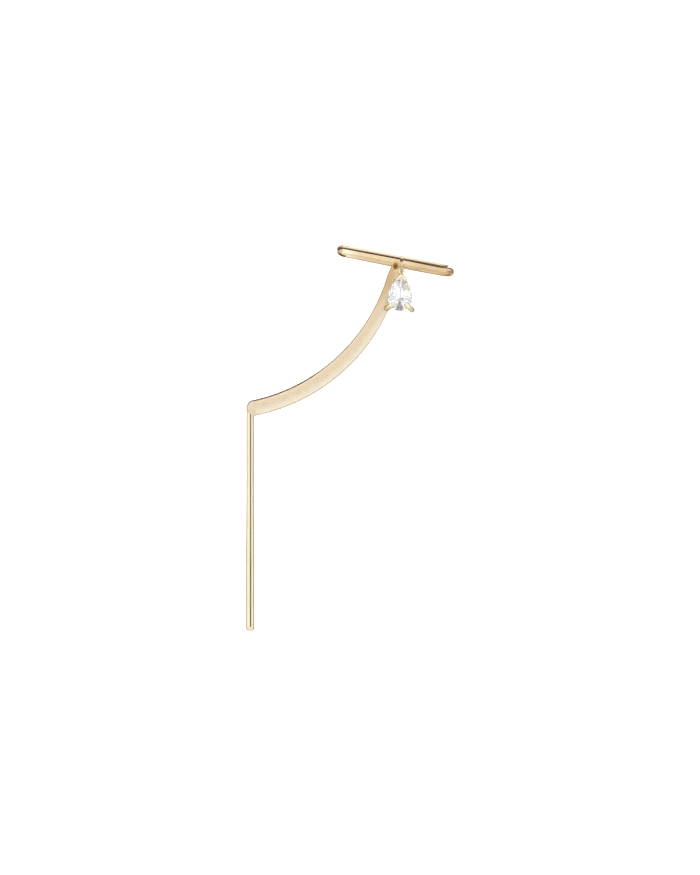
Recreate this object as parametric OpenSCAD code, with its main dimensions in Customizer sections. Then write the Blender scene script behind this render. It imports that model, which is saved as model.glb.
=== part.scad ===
// Cuff earring: a wire clip that slips over the rim of the ear, a curved ribbon
// that follows the rim down to the lobe, a straight stick that hangs from the
// ribbon's lower end, and a pear stone in a three-claw setting on a jump ring.
// Millimetres. Seen from the front, +X is to the right, +Z is up, and -Y faces
// the viewer. The origin is the middle of the clip's throat, where the ear's rim
// sits. Depths of the front pieces are measured from the front run's axis.

/* [Clip] */
// Diameter of the clip's wire
wire_d = 1.0; // [0.9:0.02:1.06]
// Diameter of the front run where the ribbon is soldered on
waist_d = 1.08; // [1.06:0.01:1.1]
// Length of the front run, from its free tip's centre to the elbow's axis
clip_l = 12.18; // [11.6:0.02:13]
// How much shorter the back run is at its free tip
back_short = 0; // [0:0.05:1]
// Distance between the front run's axis and the back run's axis
clip_depth = 6.8; // [6.4:0.1:8]
// Bend radius of the two corners of the elbow, at the wire's axis
elbow_r = 1.8; // [1.2:0.1:2.2]
// How far the clip slopes down towards its elbow, in degrees
clip_tilt = 10.97; // [9:0.01:13]

/* [Ribbon] */
// Thickness of the ribbon
ribbon_t = 0.45; // [0.4:0.01:0.5]
// Depth of the ribbon's front face ahead of the front run's axis
ribbon_front = 0.6; // [0.56:0.01:0.64]
// Radius of the ribbon's upper edge
inner_r = 19.91; // [19.88:0.01:19.94]
// Centre of the ribbon's upper edge, along X
inner_x = -20.01; // [-20.03:0.01:-19.99]
// Centre of the ribbon's upper edge, along Z
inner_z = 4.16; // [4.14:0.01:4.18]
// Radius of the ribbon's lower edge
outer_r = 20.72; // [20.67:0.01:20.77]
// Centre of the ribbon's lower edge, along X
outer_x = -19.62; // [-19.65:0.01:-19.6]
// Centre of the ribbon's lower edge, along Z
outer_z = 3.3; // [3.28:0.01:3.32]
// Radius of the round upper end, the tongue lapped over the front run
tongue_r = 0.43; // [0.4:0.01:0.45]
// Centre of the tongue's round end, along X
tongue_x = 0.01; // [-0.02:0.01:0.02]
// Centre of the tongue's round end, along Z
tongue_z = -0.24; // [-0.3:0.01:-0.2]
// Angle of the lower end, below the horizontal through the upper edge's centre
end_angle = 78.2; // [77:0.1:79]

/* [Stick] */
// Diameter of the upper stretch, which sits in the pierced lobe
stick_d = 0.82; // [0.78:0.01:0.86]
// Diameter of the lower stretch
stick_foot_d = 0.92; // [0.88:0.01:0.96]
// Place of the stick's axis along X
stick_x = -16.14; // [-16.2:0.01:-16.08]
// Height of the stick's hidden top
stick_top = -15.9; // [-16.1:0.05:-15.8]
// Height where the stick starts to thicken
stick_mid = -25.8; // [-28:0.1:-22]
// Height where the stick has its full thickness
stick_full = -32.5; // [-36:0.1:-30]
// Height of the stick's lower end
stick_end = -40.96; // [-44:0.02:-38]
// Radius round the foot's edge
stick_round = 0.26; // [0.1:0.01:0.34]
// Depth of the stick's axis ahead of the front run's axis
stick_front = 0.1; // [0.05:0.01:0.2]

/* [Jump ring] */
// Diameter of the jump ring's wire
ring_wire = 0.27; // [0.24:0.01:0.3]
// Inner diameter of the jump ring
ring_d = 1.5; // [1.44:0.01:1.6]
// Gap between the jump ring and the wire that it hangs on
ring_gap = 0.03; // [0.02:0.01:0.05]

/* [Pear drop] */
// Width of the stone
stone_w = 2.7; // [2.6:0.02:2.8]
// Distance from the centre of the stone's round end to its point
stone_tip = 2.65; // [2.6:0.01:2.7]
// Height of the crown above the girdle
crown_h = 0.4; // [0.3:0.01:0.5]
// Thickness of the girdle
girdle_t = 0.06; // [0.04:0.01:0.1]
// Depth of the pavilion below the girdle
pavilion_h = 1.1; // [1:0.01:1.14]
// Size of the table, as a share of the girdle's outline
table_share = 0.58; // [0.5:0.01:0.65]
// Gap between the stone and its setting
seat_gap = 0.03; // [0.02:0.01:0.05]
// Gap between the setting's back and the ribbon
back_gap = 0.12; // [0.1:0.01:0.2]
// Tilt of the drop, its point towards +X, in degrees
drop_tilt = 3.5; // [2:0.1:5]
// Centre of the stone's round end, along X
stone_x = 0.494; // [0.45:0.01:0.55]
// Centre of the stone's round end, along Z
stone_z = -3.95; // [-4:0.01:-3.9]
// Wall of the V-shaped cap over the stone's point
cap_wall = 0.14; // [0.12:0.01:0.16]
// How far the cap's lip covers the stone's edge
cap_lip = 0.2; // [0.15:0.01:0.25]
// Lowest height of the cap, above the centre of the round end
cap_foot = 2.16; // [2.1:0.01:2.24]
// Height of the cap's lip above the girdle
cap_rise = 0.37; // [0.3:0.01:0.45]
// Thickness of the base ring behind the stone
base_t = 0.25; // [0.2:0.01:0.3]
// Half width of the base ring
base_r = 0.98; // [0.94:0.01:1]
// Distance from the base ring's centre to its point
base_tip = 2.25; // [2.2:0.01:2.3]
// Wall of the base ring
base_wall = 0.22; // [0.18:0.01:0.26]
// Diameter of the two claws
claw_d = 0.54; // [0.46:0.01:0.56]
// Distance of each claw's post from the centre of the round end
claw_reach = 1.84; // [1.78:0.01:1.88]
// Distance of each claw's tip from the centre of the round end
claw_tip = 0.95; // [0.85:0.01:1.1]
// Angle of the claws below the horizontal, in degrees
claw_angle = 39; // [34:0.5:44]
// Diameter of each claw's tip
claw_tip_d = 0.42; // [0.36:0.01:0.44]
// Height of the claws' fingers above the girdle, at their axis
claw_rise = 0.34; // [0.3:0.01:0.4]
// Depth of the claws' feet behind the girdle
claw_drop = 0.35; // [0.3:0.01:0.45]
// Diameter of the arm from the base ring to each claw
arm_d = 0.24; // [0.2:0.01:0.28]
// Diameter of the bail's wire
bail_wire = 0.18; // [0.16:0.01:0.19]
// Diameter of the hole in the bail
bail_hole = 0.5; // [0.49:0.01:0.52]
// How far the bail leans back, square to the jump ring's wire, in degrees
bail_lean = 25; // [20:1:32]
// Width of the solder bead between the cap and the bail
bead_w = 0.52; // [0.44:0.01:0.56]
// Height of the solder bead
bead_h = 0.28; // [0.24:0.01:0.3]
// Depth of the solder bead, from the setting's back
bead_t = 0.4; // [0.3:0.01:0.44]

/* [Hidden] */
$fn = 64;

front_y = -clip_depth / 2;
half_l = clip_l / 2;
bar_slope = tan(clip_tilt);

// the ribbon: its depth, its round ends and the width at its lower end
end_inner = [inner_x + inner_r * cos(end_angle), inner_z - inner_r * sin(end_angle)];
end_outer = [outer_x + outer_r * cos(end_angle), outer_z - outer_r * sin(end_angle)];
end_mid = (end_inner + end_outer) / 2;
end_r = norm(end_outer - end_inner) / 2;
ribbon_right = tongue_x + tongue_r;

// the drop: depths ahead of the front run's axis, and the height of the bail
culet_share = 0.03;
point_share = 1.6;
setting_back = ribbon_front + back_gap;
culet_y = setting_back + base_t / 2;
girdle_y = culet_y + pavilion_h;
cap_front = girdle_y + cap_rise;
arm_start = base_r - base_wall / 2;
stone_r = stone_w / 2;
bail_mid = (bail_hole + bail_wire) / 2;
bail_y = setting_back + bail_wire / 2;
cap_top = stone_tip + cap_wall;
bail_solder = 0.05;
bail_z = cap_top + bail_mid - bail_solder;

// the jump ring hangs in the upright plane through the bail
ring_x = stone_x + bail_z * sin(drop_tilt);
axis_z = -ring_x * bar_slope;
ring_mid = (ring_d + ring_wire) / 2;
ring_shift = ring_d / 2 - waist_d / 2 / cos(clip_tilt) - ring_gap;
ring_lean = asin(bail_y / (ring_mid + ring_shift));

// Outline of a pear: a half circle below, and two arcs that meet in a point above.
module pear_outline(r, tip) {
    side_r = (tip * tip + r * r) / (2 * r);
    intersection() {
        circle(r);
        translate([-2 * r, -2 * r]) square([4 * r, 2 * r]);
    }
    intersection() {
        translate([r - side_r, 0]) circle(side_r);
        translate([side_r - r, 0]) circle(side_r);
        translate([-2 * r, 0]) square([4 * r, 2 * tip]);
    }
}

// A flat outline stood upright in the XZ plane, its front face y0 ahead of the
// front run's axis and its back face y1 ahead of it.
module slab(y0, y1) {
    translate([0, front_y - y1, 0]) rotate([90, 0, 0]) linear_extrude(y0 - y1) children();
}

// The clip in its own level plane: the front run, the elbow and the back run.
module front_run() {
    straight = half_l - elbow_r;
    translate([-half_l, 0, 0]) sphere(d = wire_d);
    translate([-half_l, 0, 0]) rotate([0, 90, 0]) cylinder(h = half_l, d1 = wire_d, d2 = waist_d);
    rotate([0, 90, 0]) cylinder(h = straight, d1 = waist_d, d2 = wire_d);
}

module back_run() {
    run_l = clip_l - elbow_r - back_short;
    translate([half_l - elbow_r - run_l, clip_depth, 0]) {
        sphere(d = wire_d);
        rotate([0, 90, 0]) cylinder(h = run_l, d = wire_d);
    }
}

module elbow() {
    corner = half_l - elbow_r;
    translate([corner, elbow_r, 0]) rotate([0, 0, -90])
        rotate_extrude(angle = 90) translate([elbow_r, 0]) circle(d = wire_d);
    translate([half_l, elbow_r, 0]) rotate([-90, 0, 0])
        cylinder(h = clip_depth - 2 * elbow_r, d = wire_d);
    translate([corner, clip_depth - elbow_r, 0])
        rotate_extrude(angle = 90) translate([elbow_r, 0]) circle(d = wire_d);
}

module clip() {
    translate([0, front_y, 0]) rotate([0, clip_tilt, 0]) {
        front_run();
        elbow();
        back_run();
    }
}

// The ribbon's outline: the space between two arcs, with a round lower end and
// a narrower round tongue that laps over the clip's front run.
module ribbon_outline() {
    far = 2 * outer_r;
    intersection() {
        difference() {
            translate([outer_x, outer_z]) circle(outer_r, $fn = 256);
            translate([inner_x, inner_z]) circle(inner_r, $fn = 256);
        }
        polygon([
            [inner_x, inner_z],
            [inner_x + far * cos(end_angle), inner_z - far * sin(end_angle)],
            [ribbon_right, -far],
            [ribbon_right, tongue_z - tongue_r * bar_slope],
            [tongue_x, tongue_z]
        ]);
    }
    translate(end_mid) circle(end_r);
    translate([tongue_x, tongue_z]) circle(tongue_r);
}

module ribbon() {
    slab(ribbon_front, ribbon_front - ribbon_t) ribbon_outline();
}

// The stick: an even upper stretch, a slow cone, an even foot and a round edge.
module stick() {
    foot_r = stick_foot_d / 2;
    core_r = foot_r - stick_round;
    translate([stick_x, front_y - stick_front, 0]) {
        translate([0, 0, stick_mid]) cylinder(h = stick_top - stick_mid, d = stick_d);
        translate([0, 0, stick_full])
            cylinder(h = stick_mid - stick_full, d1 = stick_foot_d, d2 = stick_d);
        translate([0, 0, stick_end]) rotate_extrude() {
            translate([0, stick_round]) square([foot_r, stick_full - stick_end - stick_round]);
            square([core_r, stick_full - stick_end]);
            intersection() {
                translate([core_r, stick_round]) circle(stick_round);
                square([foot_r, stick_round]);
            }
        }
    }
}

module cuff_frame() {
    color([0.93, 0.78, 0.50]) {
        clip();
        ribbon();
        stick();
    }
}

// The jump ring leans forward round the front run, so that the drop hangs
// clear of the ribbon.
module jump_ring() {
    color([0.95, 0.82, 0.55])
        translate([ring_x, front_y - ring_shift * sin(ring_lean), axis_z - ring_shift * cos(ring_lean)])
            rotate([0, 90, 0]) rotate_extrude() translate([ring_mid, 0]) circle(d = ring_wire);
}

// Places its children in the drop's own upright plane, tilted as the drop hangs.
module on_drop() {
    translate([stone_x, 0, stone_z]) rotate([0, drop_tilt, 0]) children();
}

// Points round the pear outline at one depth, its size a share of the girdle's.
function pear_point(a, r, tip) =
    let (side_r = (tip * tip + r * r) / (2 * r), open = asin(tip / side_r), k = (a - 180) / 90)
    a <= 180 ? [r * cos(180 + a), r * sin(180 + a)]
    : k <= 1 ? [side_r * cos(k * open) - side_r + r, side_r * sin(k * open)]
    : [side_r - r - side_r * cos((2 - k) * open), side_r * sin((2 - k) * open)];

STONE_STEP = 9;
function pear_ring(share, y, grow) =
    [for (a = [0 : STONE_STEP : 359])
        let (p = pear_point(a, stone_r + grow, stone_tip + grow))
        [p[0] * share, front_y - y, p[1] * share]];

// The stone as rings from its table to its keel, grown all round by grow.
module stone_body(grow) {
    n = 360 / STONE_STEP;
    depths = [
        [table_share, girdle_y + girdle_t / 2 + crown_h + grow],
        [1, girdle_y + girdle_t / 2],
        [1, girdle_y - girdle_t / 2],
        [culet_share, culet_y - girdle_t / 2 - grow]
    ];
    points = [for (d = depths) each pear_ring(d[0], d[1], grow)];
    walls = [for (k = [0 : len(depths) - 2], i = [0 : n - 1])
        [k * n + i, k * n + (i + 1) % n, (k + 1) * n + (i + 1) % n, (k + 1) * n + i]];
    table = [for (i = [n - 1 : -1 : 0]) i];
    keel = [for (i = [0 : n - 1]) (len(depths) - 1) * n + i];
    polyhedron(points = points, faces = concat([table], walls, [keel]), convexity = 4);
}

module pear_stone() {
    color([0.93, 0.95, 0.97]) on_drop() stone_body(0);
}

// The cap over the stone's point: a thin wall with a lip at the front and a
// plate at the back, which carries the bail.
module cap() {
    module above_foot() {
        intersection() {
            children();
            translate([-stone_r, cap_foot]) square([stone_w, stone_tip]);
        }
    }
    slab(cap_front, girdle_y) above_foot() difference() {
        pear_outline(stone_r + cap_wall, cap_top);
        pear_outline(stone_r - cap_lip, stone_tip - cap_lip * point_share);
    }
    slab(girdle_y, setting_back) above_foot() difference() {
        pear_outline(stone_r + cap_wall, cap_top);
        pear_outline(stone_r - seat_gap, stone_tip - seat_gap);
    }
    slab(setting_back + base_t, setting_back) above_foot()
        pear_outline(stone_r + cap_wall, cap_top);
}

// The base ring behind the stone, a smaller pear.
module base_ring() {
    slab(setting_back + base_t, setting_back) difference() {
        pear_outline(base_r, base_tip);
        pear_outline(base_r - base_wall, base_tip - base_wall * point_share);
    }
}

// A claw: a post beside the girdle, an arm from the base ring, and a finger
// that lies over the crown.
module claw(side) {
    turn = side > 0 ? claw_angle : 180 - claw_angle;
    foot_y = front_y - girdle_y + claw_drop;
    finger_y = front_y - girdle_y - claw_rise;
    base_y = front_y - setting_back - base_t / 2;
    arm_run = claw_reach - arm_start;
    arm_fall = foot_y - base_y;
    rotate([0, turn, 0]) {
        translate([claw_reach, foot_y, 0]) rotate([90, 0, 0]) cylinder(h = foot_y - finger_y, d = claw_d);
        translate([claw_reach, foot_y, 0]) sphere(d = claw_d);
        translate([claw_reach, finger_y, 0]) sphere(d = claw_d);
        translate([claw_tip, finger_y, 0]) sphere(d = claw_tip_d);
        translate([claw_tip, finger_y, 0]) rotate([0, 90, 0])
            cylinder(h = claw_reach - claw_tip, d1 = claw_tip_d, d2 = claw_d);
        translate([arm_start, base_y, 0]) rotate([0, 90, atan2(arm_fall, arm_run)])
            cylinder(h = norm([arm_run, arm_fall]), d = arm_d);
    }
}

module bail() {
    translate([0, front_y - bail_y, bail_z]) rotate([90 - bail_lean, 0, 0])
        rotate_extrude() translate([bail_mid, 0]) circle(d = bail_wire);
}

// The solder that joins the bail to the cap's point, a low rounded bead.
module bead() {
    translate([0, front_y - setting_back - bead_t / 2, cap_top - bead_h / 4])
        scale([bead_w, bead_t, bead_h]) sphere(d = 1, $fn = 32);
}

module drop_setting() {
    color([0.95, 0.86, 0.62]) on_drop() {
        difference() {
            union() {
                cap();
                base_ring();
                claw(1);
                claw(-1);
            }
            stone_body(seat_gap);
        }
        bail();
        bead();
    }
}

cuff_frame();
jump_ring();
drop_setting();
pear_stone();
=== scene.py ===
# %% [markdown]
# # A gold cuff earring
# The earring is a hairpin of round wire that slips over the rim of the ear, a
# curved ribbon of flat wire that follows the rim down, a straight stick for the
# pierced lobe, and a small pear stone that hangs from a jump ring. The packed
# CAD model comes in as a fixed frame. Finer surfaces, worked out with numpy,
# then take the place of each of its pieces.

# %% The frame
import itertools
import math

import bpy
import numpy as np
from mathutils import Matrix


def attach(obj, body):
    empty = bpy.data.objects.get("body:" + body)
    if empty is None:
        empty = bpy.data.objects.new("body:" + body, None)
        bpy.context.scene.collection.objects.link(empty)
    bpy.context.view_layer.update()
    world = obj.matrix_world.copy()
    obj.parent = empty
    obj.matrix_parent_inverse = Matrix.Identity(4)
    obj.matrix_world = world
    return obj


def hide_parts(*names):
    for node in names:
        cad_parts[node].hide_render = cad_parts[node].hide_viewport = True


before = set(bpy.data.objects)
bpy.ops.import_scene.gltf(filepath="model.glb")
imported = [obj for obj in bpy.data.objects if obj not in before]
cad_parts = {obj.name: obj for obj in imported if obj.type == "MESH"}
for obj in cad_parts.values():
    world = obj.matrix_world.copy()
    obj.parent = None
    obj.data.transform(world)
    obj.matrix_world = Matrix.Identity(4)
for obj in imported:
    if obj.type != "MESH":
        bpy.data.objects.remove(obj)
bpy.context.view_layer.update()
MM = 0.001

# %% [markdown]
# A closed surface is a grid of points plus a rule for which edges meet. Blender
# could loft or skin such shapes with modifiers, but a grid gives every ring its
# exact place, and numpy fills it in one go. The faces are turned outwards by
# the sign of the enclosed volume, so no piece can end up inside out.

# %% From a grid of points to a mesh
def quads(rows, columns, wrap_rows=False, wrap_columns=True):
    """Corner numbers of the faces of a grid. The last row or column meets the first where it wraps."""
    r = np.arange(rows if wrap_rows else rows - 1)
    c = np.arange(columns if wrap_columns else columns - 1)
    r, c = (a.ravel() for a in np.meshgrid(r, c, indexing="ij"))
    r1, c1 = (r + 1) % rows, (c + 1) % columns
    return np.stack([r * columns + c, r * columns + c1, r1 * columns + c1, r1 * columns + c], axis=1)


def fan(ring, tip):
    """Triangles from each edge of a closed ring of corner numbers to one tip."""
    return np.stack([ring, np.roll(ring, -1), np.full(len(ring), tip)], axis=1)


def volume(points, faces):
    """Enclosed volume: a sixth of the sum of each triangle's corner determinant."""
    total = 0.0
    for part in faces:
        a = points[part[:, 0]]
        for k in range(1, part.shape[1] - 1):
            b, c = points[part[:, k]], points[part[:, k + 1]]
            total += np.einsum("ij,ij->i", a, np.cross(b, c)).sum() / 6
    return total


def make_piece(name, points, faces, material, uv=None, smooth=True, body="cuff"):
    """A mesh object from points in millimetres and a list of face arrays, with outward faces."""
    assert np.isfinite(points).all(), f"{name} has a broken point"
    if volume(points, faces) < 0:
        faces = [part[:, ::-1] for part in faces]
    mesh = bpy.data.meshes.new(name)
    loops = np.concatenate([part.ravel() for part in faces]).astype(np.int32)
    sizes = np.concatenate([np.full(len(part), part.shape[1]) for part in faces])
    mesh.vertices.add(len(points))
    mesh.vertices.foreach_set("co", (points * MM).astype(np.float32).ravel())
    mesh.loops.add(len(loops))
    mesh.loops.foreach_set("vertex_index", loops)
    mesh.polygons.add(len(sizes))
    mesh.polygons.foreach_set("loop_start", np.concatenate([[0], np.cumsum(sizes)[:-1]]).astype(np.int32))
    mesh.polygons.foreach_set("use_smooth", np.full(len(sizes), smooth))
    mesh.update(calc_edges=True)
    mesh.validate()
    if uv is not None:
        layer = mesh.uv_layers.new(name="run")
        layer.data.foreach_set("uv", uv[loops].astype(np.float32).ravel())
    mesh.materials.append(material)
    piece = bpy.data.objects.new(name, mesh)
    bpy.context.scene.collection.objects.link(piece)
    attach(piece, body)
    print(f"{name}: {len(points)} points, {len(sizes)} faces, {abs(volume(points, faces)):.2f} cubic mm")
    return piece


def set_numbers(piece, name, values, domain="POINT"):
    """A named number on every point or face, for the material to read."""
    piece.data.attributes.new(name, "FLOAT", domain).data.foreach_set("value", values.astype(np.float32))

# %% [markdown]
# Wire, claws and rings are all a round profile carried along a path that lies in
# one plane. Blender's curve objects do this too, but here each ring's radius is
# free, so a tip can round off and a claw can taper. Where the radius falls to
# nothing, the surface closes in a pole.

# %% A round profile along a path
def unit(v):
    """Vectors scaled to length one."""
    return v / np.linalg.norm(v, axis=-1, keepdims=True)


def soft_step(x):
    """Zero below nought, one above one, and a smooth rise between."""
    x = np.clip(x, 0, 1)
    return x * x * (3 - 2 * x)


def dome(radius, length, steps=10):
    """A rounded tip as (distance from the tip, radius): a quarter turn, squashed to the given length."""
    turn = np.linspace(0, math.pi / 2, steps)
    return length * (1 - np.cos(turn)), radius * np.sin(turn)


def carry_round(path, radius, plane_normal, around=48, flat=1.0, closed=False):
    """Each ring is its path point plus radius times the cosine of the turn along the side
    and its sine along the plane's normal, the latter scaled by flat. Gives points, faces
    and a UV in millimetres: the way along the path, and the way around."""
    step = np.roll(path, -1, 0) - np.roll(path, 1, 0) if closed else np.gradient(path, axis=0)
    side = unit(np.cross(plane_normal, unit(step)))
    turn = np.linspace(0, 2 * math.pi, around, endpoint=False)
    across = np.cos(turn)[None, :, None] * side[:, None] + flat * np.sin(turn)[None, :, None] * plane_normal
    rings = path[:, None] + radius[:, None, None] * across
    way = np.concatenate([[0], np.cumsum(np.linalg.norm(np.diff(path, axis=0), axis=1))])
    uv = np.stack(np.broadcast_arrays(way[:, None], turn[None, :] * radius.max()), axis=-1)
    if closed:
        return rings.reshape(-1, 3), [quads(len(path), around, wrap_rows=True)], uv.reshape(-1, 2)
    body = rings[1:-1].reshape(-1, 3)
    last = len(body)
    points = np.concatenate([body, path[:1], path[-1:]])
    faces = [
        quads(len(path) - 2, around),
        fan(np.arange(around)[::-1], last),
        fan(np.arange(last - around, last), last + 1),
    ]
    uv = np.concatenate([uv[1:-1].reshape(-1, 2), uv[0, :1], uv[-1, :1]])
    return points, faces, uv

# %% [markdown]
# Gold needs more than a yellow colour. Under a soft tent a polished wire is a
# mirror, and what tells the eye that a hand polished it is the haze: patches
# that are a little softer, and very fine rub marks. Both come from noise in one
# node group, so that the wire, the ribbon and the setting can share it with
# values of their own.

# %% The shared polish
def make_group(name, inputs, outputs):
    """An empty shader node group with number or vector inputs and the given outputs."""
    group = bpy.data.node_groups.new(name, "ShaderNodeTree")
    for label, kind, default in inputs:
        socket = group.interface.new_socket(label, in_out="INPUT", socket_type=f"NodeSocket{kind}")
        if default is not None:
            socket.default_value = default
    for label, kind in outputs:
        group.interface.new_socket(label, in_out="OUTPUT", socket_type=f"NodeSocket{kind}")
    enter, leave = group.nodes.new("NodeGroupInput"), group.nodes.new("NodeGroupOutput")
    return group, enter, leave


def add(tree, kind, links=(), **values):
    """A node with some inputs set by name or number and others linked."""
    node = tree.nodes.new(kind)
    for key, value in values.items():
        setattr(node, key, value)
    for key, source in links:
        if hasattr(source, "is_output"):
            tree.links.new(source, node.inputs[key])
        else:
            node.inputs[key].default_value = source
    return node


def polish_group():
    """Haze: slow noise picks between two roughnesses. Marks: stretched fine noise, as a height."""
    group, enter, leave = make_group(
        "hand_polish",
        [("Vector", "Vector", None), ("Stretch", "Vector", (1, 1, 1)), ("Haze scale", "Float", 1.0),
         ("Mark scale", "Float", 10.0), ("Smooth", "Float", 0.05), ("Rough", "Float", 0.12)],
        [("Roughness", "Float"), ("Height", "Float"), ("Haze", "Float")],
    )
    haze = add(group, "ShaderNodeTexNoise",
               [("Vector", enter.outputs["Vector"]), ("Scale", enter.outputs["Haze scale"]), ("Detail", 3.0)])
    stretched = add(group, "ShaderNodeVectorMath",
                    [(0, enter.outputs["Vector"]), (1, enter.outputs["Stretch"])], operation="MULTIPLY")
    marks = add(group, "ShaderNodeTexNoise",
                [("Vector", stretched.outputs[0]), ("Scale", enter.outputs["Mark scale"]), ("Detail", 4.0)])
    mask = add(group, "ShaderNodeMapRange", [("Value", haze.outputs["Fac"]), ("From Min", 0.35), ("From Max", 0.65)],
               interpolation_type="SMOOTHSTEP")
    rough = add(group, "ShaderNodeMapRange",
                [("Value", mask.outputs[0]), ("To Min", enter.outputs["Smooth"]), ("To Max", enter.outputs["Rough"])])
    group.links.new(rough.outputs[0], leave.inputs["Roughness"])
    group.links.new(marks.outputs["Fac"], leave.inputs["Height"])
    group.links.new(mask.outputs[0], leave.inputs["Haze"])
    return group


hand_polish = polish_group()
print("polish group:", len(hand_polish.nodes), "nodes")

# %% [markdown]
# Five golds share that polish: the clip's mirror, the stick, the jump ring, the
# pale setting and the satin ribbon. Ring, stick and setting take their pattern
# from object space. Clip and ribbon were rubbed along their length, so their
# marks follow the piece's own UV map, long and thin. A tone number stored on
# the points makes the metal paler or deeper from place to place.

# %% The gold finishes
def ramp(tree, source, stops):
    """A colour ramp of (place, brightness or colour) stops read at source."""
    node = add(tree, "ShaderNodeValToRGB", [("Fac", source)])
    node.color_ramp.interpolation = "EASE"
    for k, (at, value) in enumerate(sorted(stops, key=lambda stop: stop[0])):
        stop = node.color_ramp.elements[k] if k < 2 else node.color_ramp.elements.new(at)
        stop.position = at
        stop.color = (*value, 1) if isinstance(value, tuple) else (value, value, value, 1)
    return node.outputs["Color"]


def number_range(tree, source, low, high):
    """A number from nought to one spread between low and high, which may be sockets."""
    return add(tree, "ShaderNodeMapRange", [("Value", source), ("To Min", low), ("To Max", high)]).outputs[0]


HAZE_TINT, MATT_TINT = (0.97, 0.955, 0.93, 1), (0.84, 0.81, 0.82, 1)
MATT_METALLIC = 0.25


def gold(name, tones, smooth, rough, haze_scale, mark_scale, stretch=(1, 1, 1), depth=1e-7, uv=None, frosted=None):
    """A metal. The piece's tone number picks the colour from tones and the haze dims it a little. The marks
    bump the surface by depth metres. Where the piece is frosted, it gets that rough, mostly matt and a little
    darker."""
    material = bpy.data.materials.new(name)
    material.use_nodes = True
    tree = material.node_tree
    shader = tree.nodes["Principled BSDF"]
    shader.inputs["Metallic"].default_value = 1.0
    if uv:
        place = add(tree, "ShaderNodeUVMap", uv_map=uv).outputs["UV"]
    else:
        place = add(tree, "ShaderNodeTexCoord").outputs["Object"]
    polish = tree.nodes.new("ShaderNodeGroup")
    polish.node_tree = hand_polish
    tree.links.new(place, polish.inputs["Vector"])
    for key, value in (("Stretch", stretch), ("Haze scale", haze_scale), ("Mark scale", mark_scale),
                       ("Smooth", smooth), ("Rough", rough)):
        polish.inputs[key].default_value = value
    tone = add(tree, "ShaderNodeAttribute", attribute_name="tone")
    dim = add(tree, "ShaderNodeMix", [(0, polish.outputs["Haze"]), (6, (1, 1, 1, 1)), (7, HAZE_TINT)],
              data_type="RGBA")
    colour = add(tree, "ShaderNodeMix", [(0, 1.0), (6, ramp(tree, tone.outputs["Fac"], tones)), (7, dim.outputs[2])],
                 data_type="RGBA", blend_type="MULTIPLY")
    roughness = polish.outputs["Roughness"]
    if frosted:
        matt = add(tree, "ShaderNodeAttribute", attribute_name="frosted").outputs["Fac"]
        roughness = number_range(tree, matt, roughness, frosted)
        tree.links.new(number_range(tree, matt, 1.0, MATT_METALLIC), shader.inputs["Metallic"])
        colour = add(tree, "ShaderNodeMix", [(0, matt), (6, colour.outputs[2]), (7, MATT_TINT)],
                     data_type="RGBA", blend_type="MULTIPLY")
    tree.links.new(colour.outputs[2], shader.inputs["Base Color"])
    tree.links.new(roughness, shader.inputs["Roughness"])
    bump = add(tree, "ShaderNodeBump", [("Height", polish.outputs["Height"]), ("Distance", depth)])
    tree.links.new(bump.outputs["Normal"], shader.inputs["Normal"])
    return material


mirror_gold = gold("mirror_gold", [(0.0, (0.9, 0.84, 0.62)), (0.3, (0.8, 0.63, 0.4)), (0.5, (0.71, 0.52, 0.31)),
                                   (0.75, (0.42, 0.31, 0.2)), (1.0, (0.14, 0.1, 0.06))],
                   smooth=0.06, rough=0.12, haze_scale=0.9, mark_scale=5.0, stretch=(0.06, 2.0, 1.0),
                   depth=1.5e-7, uv="run", frosted=0.6)
stick_gold = gold("stick_gold", [(0.0, (0.87, 0.8, 0.59)), (1.0, (0.84, 0.77, 0.55))],
                  smooth=0.04, rough=0.08, haze_scale=700, mark_scale=9000, depth=3e-8)
ring_gold = gold("ring_gold", [(0.0, (0.86, 0.74, 0.5)), (1.0, (0.1, 0.07, 0.03))],
                 smooth=0.26, rough=0.34, haze_scale=1500, mark_scale=12000, frosted=0.5)
pale_gold = gold("pale_gold", [(0.0, (0.9, 0.83, 0.64)), (0.5, (0.72, 0.6, 0.38)), (1.0, (0.22, 0.16, 0.08))],
                 smooth=0.12, rough=0.2, haze_scale=1800, mark_scale=14000)
ribbon_gold = gold("ribbon_gold", [(0.0, (0.32, 0.17, 0.04)), (0.16, (0.74, 0.53, 0.28)), (0.42, (0.88, 0.73, 0.52)),
                                   (1.0, (1.0, 0.92, 0.76))],
                   smooth=0.22, rough=0.3, haze_scale=1.1, mark_scale=6.0, stretch=(0.12, 3.0, 1.0),
                   depth=6e-8, uv="run")
print("golds:", [m.name for m in (mirror_gold, stick_gold, ring_gold, pale_gold, ribbon_gold)])

# %% [markdown]
# The clip is one length of 1 mm wire bent into a hairpin: a front run that
# shows, an elbow of two tight corners and a back run that grips behind the ear.
# It could be a curve object with a bevel. As a carried profile it can also
# swell a little where the ribbon is soldered on, and close in two rounded
# tips. The back run is taken to be matt, so a number along the wire fades the
# polish.

# %% The clip
TILT = math.radians(10.97)
FRONT_Y = -3.4
HALF_CLIP = 6.09
WIRE_R, WAIST_R = 0.5, 0.54
ELBOW_R, RUN_GAP = 1.8, 6.8
BACK_TIP, TIP_LENGTH = -6.09, 0.8
CLIP_AROUND, BACK_DIP = 72, 0.07
CLIP_AXIS = np.array([math.cos(TILT), 0, -math.sin(TILT)])
CLIP_UP = np.array([math.sin(TILT), 0, math.cos(TILT)])


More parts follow.
